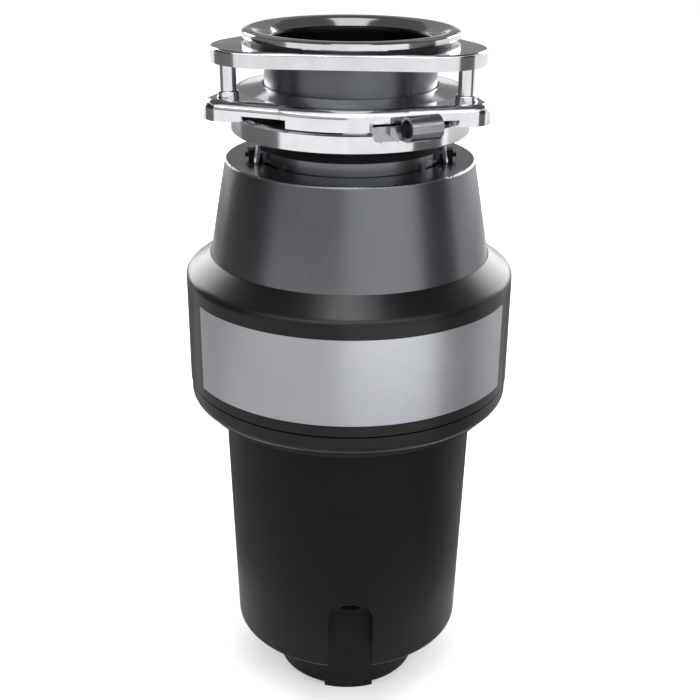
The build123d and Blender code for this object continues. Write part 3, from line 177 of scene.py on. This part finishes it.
# Hard drawn spring wire: bright grey, a little uneven
wire = finish("spring_wire", "#8E8E8E", "#A2A2A2", rough=(0.25, 0.35), grain_mm=0.4,
              relief_mm=0.006, Metallic=1.0)
# Zinc plated screws: pale, slightly cloudy
zinc = finish("zinc_plate", "#A9AAA6", "#BDBDB6", rough=(0.28, 0.42), grain_mm=1.0,
              relief_mm=0.008, patch_mm=6.0, Metallic=1.0)
# Ground stainless steel of the grinding set: satin with worn patches
ground = finish("ground_stainless", "#A0A1A3", "#AEAFB1", rough=(0.28, 0.34), grain_mm=0.8,
                relief_mm=0.008, patch_mm=12.0, Metallic=1.0)
# Stacked core sheets: thin level lines
core = finish("stacked_core_sheet", "#3E3F43", "#5C5D61", rough=(0.38, 0.5), grain_mm=0.9,
              relief_mm=0.05, stretch=(0.02, 0.02, 1.0), Metallic=1.0)
# Lacquered copper wire: warm red brown bundles that run round the stator
copper = finish("lacquered_copper", "#7A3A1C", "#B5622F", rough=(0.25, 0.4), grain_mm=1.0,
                relief_mm=0.15, stretch=(0.08, 0.08, 1.0), patch_mm=9.0, Metallic=1.0)
# Die cast aluminium: pale, dull, slightly pitted
cast = finish("die_cast_aluminium", "#97989A", "#A9AAAC", rough=(0.4, 0.55), grain_mm=0.9,
              relief_mm=0.03, Metallic=1.0)
# Sintered bronze bearings: dull yellow brown with fine pores
bronze = finish("sintered_bronze", "#8A6A3A", "#A27F49", rough=(0.35, 0.5), grain_mm=0.5,
                relief_mm=0.02, Metallic=1.0)
# Glass filled nylon of the drain chamber: dark grey, matt, with flow marks
filled = finish("glass_filled_nylon", "#1B1B1D", "#26262A", rough=(0.45, 0.6), grain_mm=1.4,
                relief_mm=0.02)
# Open foam of the liner: dark, without any shine, full of small holes
foam = finish("open_foam", "#18181A", "#2A2A2D", rough=(0.85, 0.95), grain_mm=1.6,
              relief_mm=0.25, patch_mm=10.0)
# Natural nylon of the terminal block: creamy white, half matt
natural = finish("natural_nylon", "#C9C4B4", "#D8D4C6", rough=(0.4, 0.5), grain_mm=1.0, relief_mm=0.01)

WEARS = {
    polished: ("support_plate", "clamp_screws", "screw_collars", "mounting_ring", "lock_ring"),
    flange: ("sink_flange",),
    gunmetal: ("upper_cover",),
    collar_black: ("collar_band", "collar_lower_ring"),
    brushed: ("name_plate",),
    powder: ("motor_housing",),
    nylon: ("base_cover", "cable_chute", "overload_switch", "inlet_plug", "cover_clips"),
    neck: ("hopper",),
    fibre: ("flange_gasket",),
    rubber: ("mount_gasket", "splash_guard", "cable_gland", "shaft_seal",
             "water_slinger", "chamber_gasket"),
    tube_steel: ("lever_tube", "lever_bracket"),
    red: ("reset_button",),
    wire: ("reset_spring", "snap_ring"),
    zinc: ("base_screws", "through_bolts", "chamber_bolts"),
    ground: ("shredder_ring", "turntable", "hub_nut", "lug_pins", "impeller_lug_a", "impeller_lug_b",
             "motor_shaft"),
    core: ("stator_core", "rotor_core"),
    copper: ("stator_windings",),
    cast: ("lower_end_bell", "rotor_end_rings", "capacitor"),
    bronze: ("lower_bearing", "upper_bearing"),
    filled: ("drain_chamber",),
    foam: ("sound_liner",),
    natural: ("terminal_block",),
}
for material, names in WEARS.items():
    for name in names:
        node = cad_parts[name]
        node.data.materials.clear()
        node.data.materials.append(material)


# New surfaces
SAME_POINT = 1e-7


def put_in_scene(name, data):
    """A new object at the origin that holds the data, linked to the scene."""
    thing = bpy.data.objects.new(name, data)
    bpy.context.scene.collection.objects.link(thing)
    return thing


def surface(name, points, material, closed=False):
    """A grid of points (rows, columns, 3) as one mesh of quads. closed joins the points that meet at
    its seam and ends, turns its faces outwards and shades them smooth."""
    rows, columns = points.shape[:2]
    index = np.arange(rows * columns).reshape(rows, columns)
    quads = np.stack([index[:-1, :-1], index[:-1, 1:], index[1:, 1:], index[1:, :-1]], -1)
    mesh = bpy.data.meshes.new(name)
    mesh.from_pydata(points.reshape(-1, 3).tolist(), [], quads.reshape(-1, 4).tolist())
    mesh.materials.append(material)
    if closed:
        skin = bmesh.new()
        skin.from_mesh(mesh)
        bmesh.ops.remove_doubles(skin, verts=skin.verts, dist=SAME_POINT)
        bmesh.ops.recalc_face_normals(skin, faces=skin.faces)
        skin.to_mesh(mesh)
        skin.free()
        mesh.shade_smooth()
    return put_in_scene(name, mesh)


# Coil under the reset switch
BUTTON_Y = 21.0 * MM
COIL_R = 3.6 * MM
COIL_WIRE_R = 0.33 * MM
COIL_TURNS = 4
COIL_FOOT, COIL_TOP = 14.3 * MM, 21.3 * MM
COIL_END_GAP = 0.02 * MM
STEPS_A_TURN = 32
WIRE_SIDES = 10


def coil_grid():
    """A round wire on a helix: angle 2 pi turns t, height from foot to top with t. The wire's ring lies
    across the helix, at COIL_WIRE_R (cos u outwards + sin u sideways), and is a point at both ends."""
    t = np.concatenate([[0.0], np.linspace(0.0, 1.0, COIL_TURNS * STEPS_A_TURN + 1), [1.0]])[:, None]
    u = np.linspace(0.0, 2.0 * pi, WIRE_SIDES + 1)[None, :, None]
    a = 2.0 * pi * COIL_TURNS * t
    flat = 0.0 * a
    low, high = COIL_FOOT + COIL_WIRE_R + COIL_END_GAP, COIL_TOP - COIL_WIRE_R - COIL_END_GAP
    slope = (high - low) / (2.0 * pi * COIL_TURNS * COIL_R)
    out = np.hstack([np.cos(a), np.sin(a), flat])
    along = np.hstack([-np.sin(a), np.cos(a), flat + slope])
    side = np.cross(along / np.linalg.norm(along, axis=1, keepdims=True), out)
    line = COIL_R * out + np.hstack([flat, flat + BUTTON_Y, low + (high - low) * t])
    ring = COIL_WIRE_R * (np.cos(u) * out[:, None, :] + np.sin(u) * side[:, None, :])
    ring[[0, -1]] = 0.0
    return line[:, None, :] + ring


coil = surface("reset_coil", coil_grid(), wire, closed=True)
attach(coil, "casing")
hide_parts("reset_spring")
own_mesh(coil)


# Studio: pale floor, screens that only reflections see, soft lamps, white room
def seen_rays(tree):
    """1 for a ray from the camera, off a glossy surface or through a clear one, and 0 for a ray that
    carries light to a matt surface."""
    path = add(tree, "ShaderNodeLightPath").outputs
    seen = add(tree, "ShaderNodeMath", {
        0: path["Is Camera Ray"], 1: path["Is Glossy Ray"]}, operation="MAXIMUM")
    seen = add(tree, "ShaderNodeMath", {
        0: seen.outputs[0], 1: path["Is Transmission Ray"]}, operation="MAXIMUM")
    return seen.outputs[0]


def plain(name, colour, glow, near=None):
    """A studio surface: matt colour, plus glow seen by the camera and by reflections only. near gives
    a weaker glow at the object, which rises to the full glow between two distances in metres."""
    material = bpy.data.materials.new(name)
    tree = empty_tree(material)
    seen = seen_rays(tree)
    if near:
        weak, start, end = near
        place = add(tree, "ShaderNodeTexCoord").outputs["Object"]
        out = add(tree, "ShaderNodeVectorMath", {0: place}, operation="LENGTH")
        glow = add(tree, "ShaderNodeMapRange", {
            "Value": out.outputs["Value"], "From Min": start, "From Max": end,
            "To Min": weak, "To Max": glow}).outputs["Result"]
    power = add(tree, "ShaderNodeMath", {0: seen, 1: glow}, operation="MULTIPLY")
    matt = add(tree, "ShaderNodeBsdfDiffuse", {"Color": linear(colour)})
    light = add(tree, "ShaderNodeEmission", {"Color": WHITE, "Strength": power.outputs[0]})
    both = add(tree, "ShaderNodeAddShader", {0: matt.outputs[0], 1: light.outputs[0]})
    add(tree, "ShaderNodeOutputMaterial", {"Surface": both.outputs[0]})
    return material


SHEET_POINTS = 9
ROUND_POINTS, ACROSS_POINTS = 33, 5


def sheet_grid(x, y, z):
    """A level rectangle between two x and two y values, at height z."""
    a, b = np.meshgrid(np.linspace(*x, SHEET_POINTS), np.linspace(*y, SHEET_POINTS))
    return np.stack([a, b, np.full_like(a, z)], -1)


def wall_grid(radius, az, z):
    """Part of an upright cylinder round the object: azimuth from the front towards +X, then height."""
    a, h = np.meshgrid(np.radians(np.linspace(*az, ROUND_POINTS)), np.linspace(*z, ACROSS_POINTS))
    return np.stack([radius * np.sin(a), -radius * np.cos(a), h], -1)


def card_grid(radius, az, z):
    """Part of a level ring: azimuth from the front towards +X, then radius, at height z."""
    a, r = np.meshgrid(np.radians(np.linspace(*az, ROUND_POINTS)), np.linspace(*radius, ACROSS_POINTS))
    return np.stack([r * np.sin(a), -r * np.cos(a), np.full_like(a, z)], -1)


# The floor's glow is weaker round the object, which paints shade on the floor round the base and in
# what reflects it; the base's own shadow shows in it too
FLOOR = (-8.0, 8.0)
FLOOR_GLOW = 0.52
FLOOR_GLOW_SHADED_NEAR = (0.12, 0.15, 0.9)
floor = surface("studio_floor", sheet_grid(FLOOR, FLOOR, 0.0),
                plain("pale_floor", "#F2F2F2", FLOOR_GLOW, FLOOR_GLOW_SHADED_NEAR))

# Where the screens stand: azimuths in degrees, heights and radii in metres. Walls show in the cover and
# the sides of the polished rings, and cards, which lie just above the floor, in what faces down
LEFT, LEFT_FRONT, RIGHT_FRONT, RIGHT = (-126.0, -70.0), (-70.0, -5.0), (-4.0, 57.0), (57.0, 92.0)
LOW, MIDDLE, HIGH, BEHIND_LOW = (0.006, 0.15), (0.15, 0.28), (0.28, 0.80), (0.02, 0.145)
SIDE_R, LEFT_FRONT_R, RIGHT_FRONT_R, BACK_R = 0.95, 0.97, 0.93, 0.96
CARD_R, SHORT_CARD_R = (0.13, 0.94), (0.13, 0.54)
CARD_Z = 0.004
# Each screen's shape and how brightly it glows
SCREENS = {
    "screen_left_low": (wall_grid(SIDE_R, LEFT, LOW), 0.17),
    "screen_left_middle": (wall_grid(SIDE_R, LEFT, MIDDLE), 0.20),
    "screen_left": (wall_grid(SIDE_R, LEFT, HIGH), 0.03),
    "screen_right_low": (wall_grid(SIDE_R, RIGHT, LOW), 0.15),
    "screen_right_middle": (wall_grid(SIDE_R, RIGHT, MIDDLE), 0.18),
    "screen_right": (wall_grid(SIDE_R, RIGHT, HIGH), 0.03),
    "screen_left_front_low": (wall_grid(LEFT_FRONT_R, LEFT_FRONT, (0.006, 0.07)), 0.40),
    "screen_left_front": (wall_grid(LEFT_FRONT_R, LEFT_FRONT, (0.28, 0.40)), 0.30),
    "screen_left_front_high": (wall_grid(LEFT_FRONT_R, LEFT_FRONT, (0.40, 0.75)), 0.60),
    "screen_right_front": (wall_grid(RIGHT_FRONT_R, RIGHT_FRONT, (0.006, 0.80)), 1.16),
    "screen_back": (wall_grid(BACK_R, (155.0, 205.0), (0.465, 1.10)), 0.23),
    "screen_left_back": (wall_grid(SIDE_R, (-170.0, -126.0), BEHIND_LOW), 0.36),
    "screen_right_back": (wall_grid(SIDE_R, (100.0, 170.0), BEHIND_LOW), 0.74),
    "screen_top": (sheet_grid((-0.24, 0.24), (-0.62, 0.62), 1.75), 0.90),
    "screen_roof": (sheet_grid((-2.5, 2.5), (-0.55, 2.5), 1.9), 0.10),
    "card_left": (card_grid(CARD_R, (-130.0, -90.0), CARD_Z), 0.58),
    "card_left_front": (card_grid(CARD_R, (-90.0, -4.0), CARD_Z), 0.78),
    "card_front": (card_grid(SHORT_CARD_R, RIGHT_FRONT, CARD_Z), 0.66),
    "card_right": (card_grid(CARD_R, RIGHT, CARD_Z), 0.36),
    "card_back": (card_grid(CARD_R, (132.0, 228.0), CARD_Z), 0.22),
    "card_right_back": (card_grid(CARD_R, (92.0, 130.0), CARD_Z), 0.62),
}
for name, (points, glow) in SCREENS.items():
    screen = surface(name, points, plain(name + "_cloth", "#000000", glow))
    screen.visible_camera = False
    screen.visible_diffuse = False
    screen.visible_shadow = False
    screen.visible_transmission = False

LAMP_AIM = Vector((0.0, 0.0, 0.24))


def soft_lamp(name, az, el, distance, size, radiance):
    """A rectangular lamp that faces LAMP_AIM, inside the object, from an azimuth and elevation in
    degrees. Its power is radiance * area * pi."""
    lamp = bpy.data.lights.new(name, "AREA")
    lamp.shape = "RECTANGLE"
    lamp.size, lamp.size_y = size
    lamp.energy = radiance * size[0] * size[1] * pi
    a, e = radians(az), radians(el)
    way = Vector((np.sin(a) * np.cos(e), -np.cos(a) * np.cos(e), np.sin(e)))
    holder = put_in_scene(name, lamp)
    holder.location = LAMP_AIM + way * distance
    holder.rotation_euler = way.to_track_quat("Z", "Y").to_euler()
    return holder


lamp_top = soft_lamp("lamp_top", az=0, el=88, distance=1.5, size=(0.48, 1.2), radiance=5.6)
# Polished steel would glare under the top lamp, so it mirrors only the screen above that lamp
lit_from_above = bpy.data.collections.new("lit_from_above")
lit_from_above.objects.link(floor)
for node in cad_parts.values():
    if node.active_material not in (polished, flange):
        lit_from_above.objects.link(node)
lamp_top.light_linking.receiver_collection = lit_from_above
soft_lamp("lamp_front", az=0, el=47, distance=1.3, size=(1.6, 0.22), radiance=3.8)
soft_lamp("lamp_left", az=-140, el=17, distance=1.4, size=(0.95, 0.8), radiance=4.8)
soft_lamp("lamp_right", az=140, el=17, distance=1.4, size=(0.95, 0.8), radiance=4.9)
# Three strips in a row round the front draw the light line along every rounded upper edge. The right
# one is the brightest
STRIPS = {"lamp_strip_left": (-50.0, 2.9), "lamp_strip_front": (0.0, 4.4), "lamp_strip_right": (50.0, 5.9)}
for name, (az, radiance) in STRIPS.items():
    soft_lamp(name, az, el=27, distance=1.15, size=(1.0, 0.22), radiance=radiance)

# The room is white where it is seen, and lights the object with less
ROOM_LIGHT = 0.55
world = bpy.data.worlds.new("studio")
bpy.context.scene.world = world
sky = empty_tree(world)
room = add(sky, "ShaderNodeBackground", {"Color": WHITE, "Strength": ROOM_LIGHT})
backdrop = add(sky, "ShaderNodeBackground", {"Color": WHITE, "Strength": 1.0})
either = add(sky, "ShaderNodeMixShader", {
    0: seen_rays(sky), 1: room.outputs[0], 2: backdrop.outputs[0]})
add(sky, "ShaderNodeOutputWorld", {"Surface": either.outputs[0]})

# Camera fitted to the photo's ellipses: its place in metres, and its turns in degrees
CAMERA_PLACE = (-0.0215, -0.5873, 0.4497)
CAMERA_PAN, CAMERA_TILT, CAMERA_ROLL = -2.1, 66.9, 0.48
lens = bpy.data.cameras.new("photo_camera")
lens.sensor_width = 36.0
lens.lens = 58.72
lens.shift_x = 0.002
camera = put_in_scene("photo_camera", lens)
camera.matrix_world = (Matrix.Translation(CAMERA_PLACE)
                       @ Matrix.Rotation(radians(CAMERA_PAN), 4, "Z")
                       @ Matrix.Rotation(radians(CAMERA_TILT), 4, "X")
                       @ Matrix.Rotation(radians(CAMERA_ROLL), 4, "Z"))
bpy.context.scene.camera = camera
bpy.context.scene.view_settings.view_transform = "Standard"
